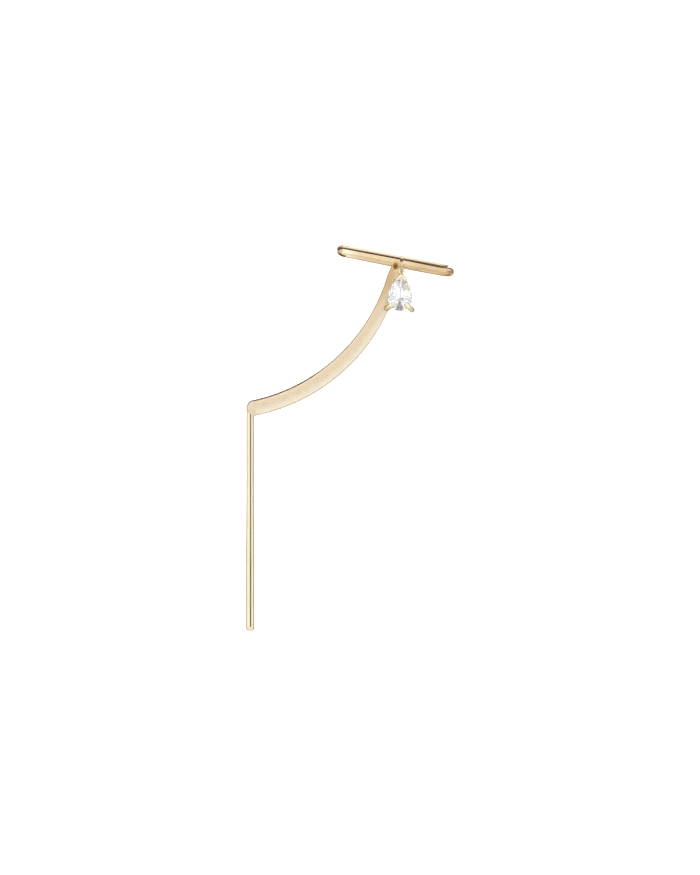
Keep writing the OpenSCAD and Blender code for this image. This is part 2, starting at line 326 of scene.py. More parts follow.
def on_clip(along, depth):
    """Points at a distance along the clip from its middle and at a depth behind the front run. The back
    run's free end dips a very little, as a hand bends it."""
    dip = BACK_DIP * soft_step(depth / RUN_GAP) * np.clip((HALF_CLIP - along) / (2 * HALF_CLIP), 0, 1)
    return along[:, None] * CLIP_AXIS + (FRONT_Y + depth)[:, None] * np.array([0, 1.0, 0]) - dip[:, None] * CLIP_UP


def clip_wire():
    """Front dome, straight, quarter circle, straight, quarter circle, straight and back dome."""
    corner = HALF_CLIP - ELBOW_R
    tip, tip_r = dome(WIRE_R, TIP_LENGTH, 14)
    turn = np.linspace(0, math.pi / 2, 20)[1:-1]
    front = np.linspace(-HALF_CLIP - WIRE_R + TIP_LENGTH, corner, 90)[1:]
    middle = np.linspace(ELBOW_R, RUN_GAP - ELBOW_R, 12)
    back = np.linspace(corner, BACK_TIP - WIRE_R + TIP_LENGTH, 60)[:-1]
    along = np.concatenate([
        tip - HALF_CLIP - WIRE_R, front, corner + ELBOW_R * np.sin(turn), np.full(len(middle), HALF_CLIP),
        corner + ELBOW_R * np.cos(turn), back, (BACK_TIP - WIRE_R + tip)[::-1]])
    depth = np.concatenate([
        0 * tip, 0 * front, ELBOW_R * (1 - np.cos(turn)), middle,
        RUN_GAP - ELBOW_R * (1 - np.sin(turn)), RUN_GAP + 0 * back, RUN_GAP + 0 * tip])
    radius = WIRE_R + (WAIST_R - WIRE_R) * np.clip(1 - np.abs(along) / corner, 0, 1) * (depth < 1e-6)
    radius[:len(tip)] = tip_r
    radius[-len(tip):] = tip_r[::-1]
    return along, depth, radius


def clip_tone(along, depth, around=CLIP_AROUND):
    """Pale at the free end and deeper to the right, and paler on the back run. The tips are painted brown
    as shade, darkest in a painted shadow under the front one, and a painted line of shade runs inside the
    throat; near the free end the back run's top is painted darker as shade. The surface faces up at a quarter turn.
    At nought the front run faces backward and the back run forward."""
    turn = np.linspace(0, 2 * math.pi, around, endpoint=False)[None, :]
    run, front = along[:, None], (depth < 1e-6)[:, None]
    tone = 0.32 * soft_step((run + 6.2) / 3.4) + 0.12 * soft_step((run - 0.5) / 2.5)
    tip = soft_step((-5.98 - run) / 0.14)
    tone = tone * (1 - tip) + 0.6 * tip + 0.2 * soft_step((-6.4 - run) / 0.16)
    behind = soft_step((depth[:, None] - 4.6) / 1.2)
    under = soft_step((-5.4 - run) / 0.35) * soft_step((-np.sin(turn) - 0.3) / 0.3)
    throat = 0.85 * soft_step((0.72 - np.sin(turn)) / 0.14) * (np.cos(turn) > 0) * (1 - 0.5 * tip)
    ridge = 0.62 * soft_step((-4.9 - run) / 0.6) * soft_step((np.sin(turn) - 0.84) / 0.06)
    return np.clip(tone * (1 - 0.65 * behind * (1 - tip)) + np.where(front, under, (throat + ridge) * behind), 0, 1)


along, depth, radius = clip_wire()
points, faces, uv = carry_round(on_clip(along, depth), radius, CLIP_UP, around=CLIP_AROUND)
clip = make_piece("clip_wire", points, faces, mirror_gold, uv)
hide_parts("cuff_frame")
tone, frost = clip_tone(along, depth), np.clip((depth - 5.2) / 1.4, 0, 1)
set_numbers(clip, "tone", np.concatenate([tone[1:-1].ravel(), [tone[0].max(), tone[-1].max()]]))
set_numbers(clip, "frosted", np.concatenate([np.repeat(frost[1:-1], CLIP_AROUND), frost[[0, -1]]]))

# %% [markdown]
# The ribbon is a curved strip with a round end at the lobe and a narrower round
# tongue that laps over the wire. Its outline is the space between two arcs. A
# sheet of quads is stretched between them, and each round end is filled by the
# rule that turns a square into a disc, so there is no pinched pole. The depth
# of the front then depends on how near a point is to the edge: flat or gently
# crowned in the middle, and filed away at the rim.

# %% The ribbon's outline as a sheet
INNER_ARC, OUTER_ARC = (-20.01, 4.16, 19.91), (-19.62, 3.3, 20.72)
END_ANGLE = math.radians(78.2)
TONGUE, TONGUE_R, TONGUE_STRETCH = np.array([0.01, -0.24]), 0.43, 1.36
RIBBON_BACK, RIBBON_FACE = 0.15, 0.6
SHEET_ROWS, SHEET_COLUMNS, END_ROWS = 220, 61, 24
MIDDLE_COLUMN = SHEET_COLUMNS // 2


def on_arc(arc, angle):
    """Points of an arc given as centre and radius, at angles below the horizontal."""
    return np.stack([arc[0] + arc[2] * np.cos(angle), arc[1] - arc[2] * np.sin(angle)], axis=-1)


def ribbon_edges(q):
    """Upper and lower edge at shares q of the way from the lobe end to the tongue."""
    top = math.asin((INNER_ARC[1] - TONGUE[1]) / INNER_ARC[2])
    upper = on_arc(INNER_ARC, END_ANGLE + (top - END_ANGLE) * q)
    upper[:, 0] += (TONGUE[0] - TONGUE_R - upper[-1, 0]) * soft_step((q - 0.94) / 0.06)
    reach = TONGUE[0] + TONGUE_R - OUTER_ARC[0]
    bend = math.acos(reach / OUTER_ARC[2])
    arc_way, straight_way = (END_ANGLE - bend) * OUTER_ARC[2], TONGUE[1] - on_arc(OUTER_ARC, np.array([bend]))[0, 1]
    way = q * (arc_way + straight_way)
    lower = on_arc(OUTER_ARC, END_ANGLE - np.minimum(way, arc_way) / OUTER_ARC[2])
    lower[:, 1] += np.maximum(way - arc_way, 0)
    return upper, lower


def half_disc(centre, left, right, outward, p, t, stretch=1.0):
    """The half square p, t bent to a half disc: p times the root of 1 - t*t/2 outwards, and t times the
    root of 1 - p*p/2 across, then stretched outwards. Also gives each point's distance to the rim."""
    r = np.linalg.norm(right - left) / 2
    across = (right - left) / (2 * r)
    p, t = p[:, None, None], t[None, :, None]
    place = p * np.sqrt(1 - t * t / 2) * outward + t * np.sqrt(1 - p * p / 2) * across
    rim = r * (1 - np.linalg.norm(place, axis=-1))
    return centre + r * (place + (stretch - 1) * (place @ outward)[..., None] * outward), rim


def ribbon_sheet(rows=SHEET_ROWS, columns=SHEET_COLUMNS, end_rows=END_ROWS):
    """The whole outline as a grid, each point's distance to the upper and the lower edge,
    and how far it is into the lobe end or the tongue."""
    tau = np.linspace(-1, 1, columns)
    t = np.sign(tau) * (1 - (1 - np.abs(tau)) ** 1.8)
    p = 1 - (1 - np.linspace(0, 1, end_rows)[1:]) ** 1.8
    upper, lower = ribbon_edges(np.linspace(0, 1, rows))
    middle = (upper + lower)[:, None] / 2 + t[None, :, None] * (lower - upper)[:, None] / 2
    width = np.linalg.norm(lower - upper, axis=1)[:, None] / 2
    along = unit(np.array([[lower[0, 1] - upper[0, 1], upper[0, 0] - lower[0, 0]]]))[0]
    lobe, lobe_rim = half_disc((upper[0] + lower[0]) / 2, upper[0], lower[0], along, p, t)
    tongue, tongue_rim = half_disc(TONGUE, upper[-1], lower[-1], np.array([0.0, 1.0]), p, t, TONGUE_STRETCH)
    flat = np.concatenate([lobe[::-1], middle, tongue])
    to_upper = np.concatenate([lobe_rim[::-1], width * (1 + t), tongue_rim])
    to_lower = np.concatenate([lobe_rim[::-1], width * (1 - t), tongue_rim])
    way = np.linspace(0, 1, len(flat))
    return flat, to_upper, to_lower, way, t


flat, to_upper, to_lower, way, t = ribbon_sheet()
print("ribbon sheet:", flat.shape[:2], "width at the lobe", round(2 * to_upper[END_ROWS - 1, MIDDLE_COLUMN], 2), "mm")

# %% [markdown]
# The upper edge was filed to a clear bevel, which shows in the light as a thin
# dark line, and the lower edge only rubbed round. The tongue is hollowed like a
# spoon, which leaves the light arch over a golden pool where it meets the wire;
# the pool's deep brown, and the deeper gold towards the bar, are painted shade.
# Front and back sheet share one outline, so a short wall closes them.

# %% The ribbon
def filed(distance, width, depth):
    """How far a face falls away near its edge: depth times the 1.3 power of one minus distance over width."""
    return depth * np.clip(1 - distance / width, 0, 1) ** 1.3


def rim_numbers(rows, columns):
    """Corner numbers once round the border of a grid."""
    grid = np.arange(rows * columns).reshape(rows, columns)
    return np.concatenate([grid[0, :-1], grid[:-1, -1], grid[-1, :0:-1], grid[:0:-1, 0]])


POOL_MIDDLE, POOL_AXES, POOL_DEPTH = np.array([0.02, -0.4]), np.array([0.31, 0.5]), 0.26
LEAST_WALL, WIRE_COVER = 0.06, 0.02


def spoon_pool():
    """The tongue's hollow: one in the middle of an ellipse, nought outside it."""
    spoon = (flat - POOL_MIDDLE) / POOL_AXES
    return np.clip(1 - (spoon ** 2).sum(-1), 0, 1) ** 1.3


def ribbon_tone():
    """How pale the gold is: rising from the upper to the lower edge, with painted shade that deepens it towards the
    bar and most in the pool of the spoon.
    """
    share = to_upper / (to_upper + to_lower + 1e-9)
    painted_shade_near_bar = soft_step((way[:, None] - 0.66) / 0.2)
    tone = 0.42 + 0.5 * soft_step((share - 0.1) / 0.8)
    return tone * (1 - 0.62 * painted_shade_near_bar) * (1 - 0.97 * spoon_pool() ** 0.3)


def ribbon_depths():
    """Depth ahead of the wire's axis for the front and the back of every sheet point."""
    row = way[:, None]
    body = soft_step((row - 0.07) / 0.03) * (1 - soft_step((row - 0.3) / 0.14))
    top = soft_step((row - 0.9) / 0.03)
    crowned = soft_step((row - 0.06) / 0.06) * (1 - top)
    upper_bevel = filed(to_upper, 0.1 + 0.1 * body, 0.15 + 0.13 * body)
    lower_bevel = filed(to_lower, 0.13, 0.2)
    crown = 0.03 * (1 - np.minimum(to_upper, to_lower) / 0.9) ** 2
    front = RIBBON_FACE - np.maximum(upper_bevel, lower_bevel) - crown * crowned - POOL_DEPTH * spoon_pool()
    back = RIBBON_BACK + filed(np.minimum(to_upper, to_lower), 0.08, 0.05)
    above_wire = flat[..., 1] + flat[..., 0] * math.tan(TILT)
    wire = np.sqrt(np.maximum(WAIST_R ** 2 - above_wire ** 2, 0))
    return np.maximum(front, np.maximum(back + LEAST_WALL, wire + WIRE_COVER)), back


def ribbon_surface():
    """Front grid, back grid and the wall between their borders."""
    front, back = ribbon_depths()
    rows, columns = front.shape
    sheets = [np.stack([flat[..., 0], FRONT_Y - depth, flat[..., 1]], -1).reshape(-1, 3) for depth in (front, back)]
    rim = rim_numbers(rows, columns)
    count = rows * columns
    wall = np.stack([rim, np.roll(rim, -1), np.roll(rim, -1) + count, rim + count], axis=1)
    grid = quads(rows, columns, wrap_columns=False)
    run = np.linalg.norm(np.diff(flat[:, MIDDLE_COLUMN], axis=0), axis=1)
    u = np.broadcast_to(np.concatenate([[0], np.cumsum(run)])[:, None], front.shape)
    v = np.broadcast_to(t[None, :] * 0.75, front.shape)
    uv = np.stack([u, v], -1).reshape(-1, 2)
    return np.concatenate(sheets), [grid, grid[:, ::-1] + count, wall[:, ::-1]], np.concatenate([uv, uv + [0, 3]])


points, faces, uv = ribbon_surface()
ribbon = make_piece("ribbon", points, faces, ribbon_gold, uv)
set_numbers(ribbon, "tone", np.tile(ribbon_tone().ravel(), 2))
ribbon.data.set_sharp_from_angle(angle=math.radians(38))
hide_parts("cuff_frame")

# %% [markdown]
# The stick is plain round wire, thinner where it sits in the lobe and swelling
# slowly to a blunt foot. A cylinder would do for a glance, but the slow taper
# and the rounded rim are what make its long highlight look drawn by hand.

# %% The stick
STICK_X, STICK_Y = -16.14, FRONT_Y - 0.1
STICK_TOP, STICK_END = -15.9, -40.96
STICK_R, FOOT_R, FOOT_ROUND = 0.41, 0.46, 0.26
TOP_DOME, FOOT_LIFT = 0.12, 0.002


def stick_wire():
    """Heights and radii: a low dome on top, a taper from 25.8 to 32.5 mm down, a foot with a round rim."""
    top, top_r = dome(STICK_R, TOP_DOME, 10)
    run = np.linspace(STICK_TOP - TOP_DOME, STICK_END + FOOT_LIFT + FOOT_ROUND, 120)[1:]
    run_r = STICK_R + (FOOT_R - STICK_R) * np.clip((-25.8 - run) / 6.7, 0, 1)
    turn = np.linspace(0, math.pi / 2, 9)[1:]
    rim = STICK_END + FOOT_LIFT + FOOT_ROUND * (1 - np.sin(turn))
    rim_r = FOOT_R - FOOT_ROUND * (1 - np.cos(turn))
    height = np.concatenate([STICK_TOP - top, run, rim, [STICK_END + FOOT_LIFT / 2, STICK_END]])
    return height, np.concatenate([top_r, run_r, rim_r, [0.12, 0.0]])


height, radius = stick_wire()
path = np.stack([np.full(len(height), STICK_X), np.full(len(height), STICK_Y), height], axis=1)
points, faces, uv = carry_round(path, radius, np.array([1.0, 0, 0]), around=56)
stick = make_piece("lobe_stick", points, faces, stick_gold, uv)
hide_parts("cuff_frame")

# %% [markdown]
# The jump ring is a closed ring of thin wire round the clip's front run. From
# the front it is seen edge on, so only its wire shows: matt on top, and painted
# dark as shade where it turns in under the clip. It belongs to the drop and
# swings with it. A torus object would also do. Carrying the round profile round
# a closed path keeps one way of working for every wire.

# %% The jump ring
def circle_path(centre, a, b, steps=96):
    """A closed ellipse about a centre with the half axes a and b."""
    turn = np.linspace(0, 2 * math.pi, steps, endpoint=False)[:, None]
    return centre + np.cos(turn) * a + np.sin(turn) * b


X_AXIS, Y_AXIS, Z_AXIS = np.eye(3)
RING_X, RING_MID, RING_WIRE_R = 0.68203, 0.885, 0.135
RING_LEAN, RING_SHIFT = math.radians(50.2), 0.17
RING_AROUND = 32
ring_centre = np.array([
    RING_X, FRONT_Y - RING_SHIFT * math.sin(RING_LEAN), -0.1322 - RING_SHIFT * math.cos(RING_LEAN)])
path = circle_path(ring_centre, RING_MID * Y_AXIS, RING_MID * Z_AXIS)
points, faces, uv = carry_round(path, np.full(len(path), RING_WIRE_R), X_AXIS, around=RING_AROUND, closed=True)
jump_ring = make_piece("jump_ring_wire", points, faces, ring_gold, uv, body="drop")
turn = np.repeat(np.linspace(0, 360, len(path), endpoint=False), RING_AROUND)
# Painted shade: the wire is painted dark where it turns in under the clip, around 147 degrees, and a little dark
# beyond.
set_numbers(jump_ring, "tone", soft_step(1.4 - np.abs(turn - 147) / 12) + 0.3 * soft_step((turn - 155) / 20))
set_numbers(jump_ring, "frosted", soft_step((136 - turn) / 12))
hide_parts("jump_ring")

# %% [markdown]
# Everything below the ring hangs in one upright plane that is tilted a few
# degrees. It is easier to build those pieces straight, with X across, Z up and
# the depth measured ahead of the wire, and to tilt them into place at the end.

# %% Into the drop's plane
DROP_TILT = math.radians(3.5)
STONE_PLACE = np.array([0.494, 0, -3.95])


def hang(points):
    """Turns points by the drop's tilt about the depth axis and moves them to the stone's place."""
    c, s = math.cos(DROP_TILT), math.sin(DROP_TILT)
    x, y, z = points[..., 0], points[..., 1], points[..., 2]
    return np.stack([x * c + z * s, y, z * c - x * s], -1) + STONE_PLACE


def ahead(x, depth, z):
    """Points from arrays of x, depth ahead of the wire's axis, and z."""
    return np.stack(np.broadcast_arrays(x, FRONT_Y - depth, z), axis=-1)


# %% [markdown]
# The stone is a pear brilliant. A cutter grinds one flat facet after another,
# and the stone is what is left when every plane has taken its slice. The same
# works in numbers: every three planes meet in a point, the points that no other
# plane cuts away are the corners, and the corners on one plane, sorted by
# angle, are its facet. All facets come out truly flat, as a cutter leaves them.
# Two things are chosen for the look and not cut: the glass bends light less than
# a hard gem does, which keeps the stone bright, and four very narrow facets
# along the ridges behind are painted dark, a painted reflection that draws the
# strokes that cross in its middle. The other facets are painted white or a faint
# grey at random, painted reflections of the light the facets break up. A convex
# hull modifier would need the corners first.

# %% The stone
STONE_R, STONE_TIP = 1.35, 2.65
GIRDLE, GIRDLE_T = 1.945, 0.06
CROWN_H, TABLE_SHARE, PAVILION_H = 0.4, 0.58, 1.1
MAIN_SLOPE, STAR_SLOPE, HALF_SLOPE, BACK_HALF_SLOPE = 24, 15, 29, 2.2
KEELS = [0, 4, 7, 8]
MAINS = np.radians([-140, -98, -64, -38, -17, 17, 38, 64, 98, 140, 180])


def pear_side(r, tip):
    """Radius of the two side arcs of a pear with a round end of radius r and its point at height tip."""
    return (tip * tip + r * r) / (2 * r)


def pear_at(angle, r=STONE_R, tip=STONE_TIP):
    """Outline points at polar angles from the point, clockwise: the circle below, and above it where a ray
    meets a side arc."""
    s = pear_side(r, tip)
    x, z = np.sin(angle), np.cos(angle)
    shift = (s - r) * np.abs(x)
    reach = np.where(z > 0, -shift + np.sqrt(shift ** 2 + s * s - (s - r) ** 2), r)
    return np.stack([x, z], -1) * reach[:, None]


def tangents(angle):
    """Outward directions of the outline at polar angles, and how far out each tangent lies."""
    here, step = pear_at(angle), pear_at(angle + 0.01) - pear_at(angle - 0.01)
    out = unit(np.stack([-step[:, 1], step[:, 0]], -1))
    out *= np.sign((out * here).sum(-1, keepdims=True))
    return out, (out * here).sum(-1)


def facet_planes(angle, slope, front=True, inset=0.0):
    """Planes through the girdle's front rim at a slope, or its back rim towards the culet and steeper than
    that by the slope, as unit normals (x, depth, z) and offsets."""
    out, reach = tangents(angle)
    sign, rim = (1, GIRDLE + GIRDLE_T / 2) if front else (-1, GIRDLE - GIRDLE_T / 2)
    slope = np.radians(slope) + (0 if front else np.arctan(PAVILION_H / reach))
    s, c = np.sin(slope), np.cos(slope)
    normals = np.stack([out[:, 0] * s, sign * c + 0 * reach, out[:, 1] * s], -1)
    return normals, (reach - inset) * s + sign * rim * c


def keel_planes(normals, depth=0.014):
    """Narrow facets along some of the ridges that run to the culet, painted dark as a painted reflection: the middle
    normal of two neighbours, a little inside their ridge."""
    middle = unit(normals + np.roll(normals, -1, 0))[KEELS]
    return middle, middle @ np.array([0, GIRDLE - GIRDLE_T / 2 - PAVILION_H, 0]) - depth


def pear_cuts():
    """All planes of the stone: table, girdle, crown mains, stars and halves, pavilion mains, halves and keels."""
    nxt = np.roll(MAINS, -1) + np.where(np.arange(len(MAINS)) == len(MAINS) - 1, 2 * math.pi, 0)
    part = [MAINS + share * (nxt - MAINS) for share in (0.25, 0.5, 0.75)]
    halves = np.concatenate([part[0], part[2]])
    girdle = np.linspace(0.02, 2 * math.pi - 0.02, 44)
    star_inset = CROWN_H / math.tan(math.radians(MAIN_SLOPE)) - CROWN_H / math.tan(math.radians(STAR_SLOPE))
    mains = facet_planes(MAINS, 0, False)
    cuts = [
        (np.array([[0.0, 1.0, 0.0]]), np.array([GIRDLE + GIRDLE_T / 2 + CROWN_H])),
        facet_planes(girdle, 90), facet_planes(MAINS, MAIN_SLOPE),
        facet_planes(part[1], STAR_SLOPE, inset=star_inset), facet_planes(halves, HALF_SLOPE),
        mains, facet_planes(halves, BACK_HALF_SLOPE, False), keel_planes(mains[0])]
    return np.concatenate([c[0] for c in cuts]), np.concatenate([c[1] for c in cuts])


def cut_stone(normals, offsets):
    """Corners where three planes meet and none cuts, each plane's facet sorted by angle, and the planes' numbers."""
    i, j, k = np.array(list(itertools.combinations(range(len(offsets)), 3))).T
    jk = np.cross(normals[j], normals[k])
    det = (normals[i] * jk).sum(-1)
    good = np.abs(det) > 1e-5
    i, j, k, jk, det = i[good], j[good], k[good], jk[good], det[good]
    spots = (offsets[i, None] * jk + offsets[j, None] * np.cross(normals[k], normals[i])
             + offsets[k, None] * np.cross(normals[i], normals[j])) / det[:, None]
    spots = spots[(spots @ normals.T <= offsets + 1e-7).all(-1)]
    corners = np.unique(np.round(spots, 5) + 0.0, axis=0)
    faces, planes = [], []
    for plane, (normal, offset) in enumerate(zip(normals, offsets)):
        on = np.flatnonzero(np.abs(corners @ normal - offset) < 3e-5)
        if len(on) > 2:
            a = unit(np.cross(normal, [0.3, 0.2, 0.9]))
            middle = corners[on] - corners[on].mean(0)
            faces.append(on[np.argsort(np.arctan2(middle @ np.cross(normal, a), middle @ a))][None, ::-1])
            planes.append(plane)
    return corners, faces, np.array(planes)


def clear_stone():
    """A clear stone with a small matt share. Each facet's own number tints it between white, a faint grey
    and dark, as painted reflections of the light that the facets break up."""
    material = bpy.data.materials.new("clear_stone")
    material.use_nodes = True
    tree = material.node_tree
    shader = tree.nodes["Principled BSDF"]
    for key, value in (("Transmission Weight", 0.85), ("IOR", 1.5), ("Metallic", 0.0)):
        shader.inputs[key].default_value = value
    tone = add(tree, "ShaderNodeAttribute", attribute_name="tone").outputs["Fac"]
    tint = ramp(tree, tone, [(0.0, (1.0, 1.0, 1.0)), (0.5, (0.87, 0.88, 0.92)), (1.0, (0.04, 0.04, 0.05))])
    tree.links.new(tint, shader.inputs["Base Color"])
    place = add(tree, "ShaderNodeTexCoord")
    cloud = add(tree, "ShaderNodeTexNoise", [("Vector", place.outputs["Object"]), ("Scale", 700.0)])
    tree.links.new(number_range(tree, cloud.outputs["Fac"], 0.0, 0.012), shader.inputs["Roughness"])
    return material


normals, offsets = pear_cuts()
corners, faces, planes = cut_stone(normals, offsets)
points = hang(ahead(corners[:, 0], corners[:, 1], corners[:, 2]))
stone = make_piece("pear_brilliant", points, faces, clear_stone(), smooth=False, body="drop")
share = np.random.default_rng(5).random(len(faces))
is_keel = planes >= len(offsets) - len(KEELS)
# Painted reflection: the keel facets are painted dark to draw the crossing strokes, the others white to a faint grey
# at random.
set_numbers(stone, "tone", np.where(is_keel, 0.85 + 0.15 * share, 0.5 * share ** 2), "FACE")
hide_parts("pear_stone")

# %% [markdown]
# The setting holds the stone at three places: a folded cap over its point and
# two claws over its round end, all soldered to a small ring behind it. The cap
# is a bent section, wall and lip, carried along the pear's outline from one
# foot over the point to the other, with the outline grown or shrunk for each
# corner of the section.

# %% The cap over the point
CAP_BLUNT = 0.2


def cap_surface(steps=81, soft=0.16, foot=2.16):
    """A closed section of (growth of the outline, depth) pairs, carried over the point of the pear.
    Heights fall from the point to the foot with the softened size of a, and x is the side arc there."""
    section = np.array([
        [0.14, 0.78], [0.14, 1.5], [0.14, 2.1], [0.11, 2.22], [0.03, 2.3], [-0.08, 2.315], [-0.2, 2.29],
        [-0.25, 2.23], [-0.22, 2.16], [-0.1, 2.08], [-0.03, 2.0], [-0.03, 1.5], [-0.03, 0.99], [-0.2, 0.97],
        [-0.2, 0.74], [0.08, 0.72]])
    a = np.linspace(-1, 1, steps)
    a = np.sign(a) * np.abs(a) ** 1.4
    size = (np.sqrt(a * a + soft * soft) - soft) / (math.sqrt(1 + soft * soft) - soft)
    grow, depth = section[:, 0], section[:, 1]
    r = STONE_R + grow
    tip = STONE_TIP + np.where(grow < -0.05, 1.6, 1.0) * grow
    side = pear_side(r, tip)
    z = foot + (tip - foot)[None, :] * (1 - size[:, None])
    x = np.sign(a)[:, None] * (np.sqrt(np.maximum(side ** 2 - z ** 2, 0)) - (side - r))
    blunt = np.hypot(x, CAP_BLUNT * (1 - size[:, None])) * soft_step(np.abs(a) / 0.12)[:, None] ** 0.5
    x = np.sign(a)[:, None] * blunt
    rings = ahead(x, depth[None, :], z)
    count = len(section)
    ends = [rings[0].mean(0), rings[-1].mean(0)]
    points = np.concatenate([rings.reshape(-1, 3), ends])
    last = steps * count
    faces = [quads(steps, count), fan(np.arange(count)[::-1], last), fan(np.arange(last - count, last), last + 1)]
    return points, faces


points, faces = cap_surface()
cap = make_piece("point_cap", hang(points), faces, pale_gold, body="drop")
cap.data.set_sharp_from_angle(angle=math.radians(50))
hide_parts("drop_setting")

# %% [markdown]
# A claw starts as a thin arm on the ring behind the stone, thickens beside the
# girdle and bends over the crown to a rounded tip. Its path is drawn with a few
# points and smoothed by averaging neighbours. Where the round profile would
# run into the stone it is flattened onto the facets, as a setter files a seat.

# %% The claws
def smooth_path(knots, steps=60, passes=30):
    """Even points along straight runs between knots, then averaged with their neighbours, ends held."""
    way = np.concatenate([[0], np.cumsum(np.linalg.norm(np.diff(knots, axis=0), axis=1))])
    at = np.linspace(0, way[-1], steps)
    path = np.stack([np.interp(at, way, knots[:, k]) for k in range(knots.shape[1])], axis=1)
    for _ in range(passes):
        path[1:-1] = (path[:-2] + 2 * path[1:-1] + path[2:]) / 4
    return path


def seat(points):
    """Moves points that lie inside the crown ahead of it, by the crown's height at that share of the outline."""
    x, z = points[..., 0], points[..., 2]
    rim = np.linalg.norm(pear_at(np.arctan2(x, z).ravel()), axis=1).reshape(x.shape)
    share = np.hypot(x, z) / rim
    crown = GIRDLE + GIRDLE_T / 2 + CROWN_H * np.clip((1 - share) / (1 - TABLE_SHARE), 0, 1) + 0.02
    depth = FRONT_Y - points[..., 1]
    lifted = np.where((share < 1.0) & (depth > GIRDLE - 0.1), np.maximum(depth, crown), depth)
    return ahead(x, lifted, z)


CLAW_TURN, CLAW_AROUND = math.radians(39), 36


def claw(turn):
    """A claw at an angle below the horizontal: knots as (distance from the stone's middle, depth, radius)."""
    knots = np.array([
        [0.87, 0.845, 0.12], [1.35, 1.24, 0.14], [1.74, 1.58, 0.23], [1.86, 1.9, 0.28], [1.82, 2.18, 0.295],
        [1.5, 2.25, 0.285], [1.2, 2.25, 0.26], [0.93, 2.24, 0.23]])
    knots = smooth_path(knots, 70, 26)
    out, radius = np.array([math.cos(turn), 0, -math.sin(turn)]), knots[:, 2]
    path = knots[:, :1] * out + ahead(0 * radius, knots[:, 1], 0 * radius)
    lead, lead_r = dome(radius[-1], radius[-1], 12)
    end = unit(path[-1:] - path[-2:-1])
    path = np.concatenate([path[:1] - 0.01 * out, path, path[-1] + (radius[-1] - lead[::-1][1:, None]) * end])
    radius = np.concatenate([[0.0], radius, lead_r[::-1][1:]])
    return path, radius, np.array([math.sin(turn), 0, math.cos(turn)])


for name, turn in (("claw_right", CLAW_TURN), ("claw_left", math.pi - CLAW_TURN)):
    path, radius, normal = claw(turn)
    points, faces, uv = carry_round(path, radius, normal, around=CLAW_AROUND)
    piece = make_piece(name, hang(seat(points)), faces, pale_gold, uv, body="drop")
    out = np.hypot(points[:, 0], points[:, 2])
    around = np.arange(len(points)) * 2 * math.pi / CLAW_AROUND
    # Painted shade: the upper side of each claw beyond the girdle is painted dark, and the claw is deeper towards its
    # outer end.
    upper = soft_step((np.sin(around) - 0.55) / 0.3) * soft_step((out - 1.2) / 0.3)
    set_numbers(piece, "tone", np.clip(0.6 * soft_step((out - 1.15) / 0.7) + 0.75 * upper, 0, 1))
    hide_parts("drop_setting")

# %% [markdown]
# Behind the stone the claws and the cap meet on a base ring, a smaller pear of
# flattened wire, and an oval bail stands on the cap and takes the jump ring. A
# bead of solder closes the joint between bail and cap.

# %% The base ring, the bail and its solder
def base_path(steps=96, r=0.87, tip=2.06, depth=0.845):
    """The base ring's middle line: a pear at even angles, its corner softened by averaging."""
    outline = pear_at(np.linspace(0, 2 * math.pi, steps, endpoint=False), r, tip)
    for _ in range(6):
        outline = (np.roll(outline, 1, 0) + 2 * outline + np.roll(outline, -1, 0)) / 4
    return ahead(outline[:, 0], np.full(steps, depth), outline[:, 1])


path = base_path()
points, faces, uv = carry_round(path, np.full(len(path), 0.11), Y_AXIS, around=28, flat=1.1, closed=True)
base = make_piece("base_ring", hang(points), faces, pale_gold, uv, body="drop")
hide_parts("drop_setting")

BAIL_Z, BAIL_DEPTH, BAIL_WIDE, BAIL_TALL, BAIL_WIRE_R = 3.08, 0.81, 0.28, 0.335, 0.095
BAIL_LEAN = math.radians(25)
bail_up = np.array([0, math.sin(BAIL_LEAN), math.cos(BAIL_LEAN)])
path = circle_path(np.array([0, FRONT_Y - BAIL_DEPTH, BAIL_Z]), BAIL_WIDE * X_AXIS, BAIL_TALL * bail_up, 72)
points, faces, uv = carry_round(
    path, np.full(len(path), BAIL_WIRE_R), np.cross(X_AXIS, bail_up), around=28, closed=True)
bail = make_piece("bail", hang(points), faces, pale_gold, uv, body="drop")
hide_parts("drop_setting")

BEAD_HALF, BEAD_R, BEAD_DEPTH, BEAD_Z = 0.26, 0.2, 0.92, 2.72
share = -np.cos(np.linspace(0, math.pi, 24))
path = ahead(BEAD_HALF * share, BEAD_DEPTH, BEAD_Z)
points, faces, uv = carry_round(path, BEAD_R * np.sqrt(np.maximum(1 - share ** 2, 0)), Z_AXIS, around=32, flat=0.7)
bead = make_piece("solder_bead", hang(points), faces, pale_gold, uv, body="drop")
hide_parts("drop_setting")

# %% [markdown]
# Polished gold shows its surroundings and little else, so the light is a studio
# tent of warm white cloth, with one large dark opening high at the back. That
# opening draws thin dark lines along the upper edges; the dark lines in the
# clip's throat and on the claws' upper sides are painted shade instead. A narrow
# dark slit ahead stands for the gap that a camera looks through and draws the
# line down the stick. Softer grey patches at the sides and low at the back round
# the wires off. Light that passes through the stone finds a brighter, neutral
# tent, so that the stone stays white. Lamps could do this with panels and flags.
# A sky made of a few smooth ramps gives the same mirror image without noise.

# %% The studio tent
def math_node(tree, operation, a, b):
    """The output of one sum, product or other operation on two sockets or numbers."""
    return add(tree, "ShaderNodeMath", [(0, a), (1, b)], operation=operation).outputs[0]


def inside(tree, *edges):
    """The product of smooth edges, each a (socket, nought here, one here) triple."""
    value = None
    for source, nought, one in edges:
        edge = add(tree, "ShaderNodeMapRange", [("Value", source), ("From Min", nought), ("From Max", one)],
                   interpolation_type="SMOOTHSTEP").outputs[0]
        value = edge if value is None else math_node(tree, "MULTIPLY", value, edge)
    return value


def dimmed(tree, light, *patches):
    """The light with each (mask, amount) patch taken out of it."""
    for mask, amount in patches:
        keep = math_node(tree, "SUBTRACT", 1.0, math_node(tree, "MULTIPLY", mask, amount))
        light = math_node(tree, "MULTIPLY", light, keep)
    return light


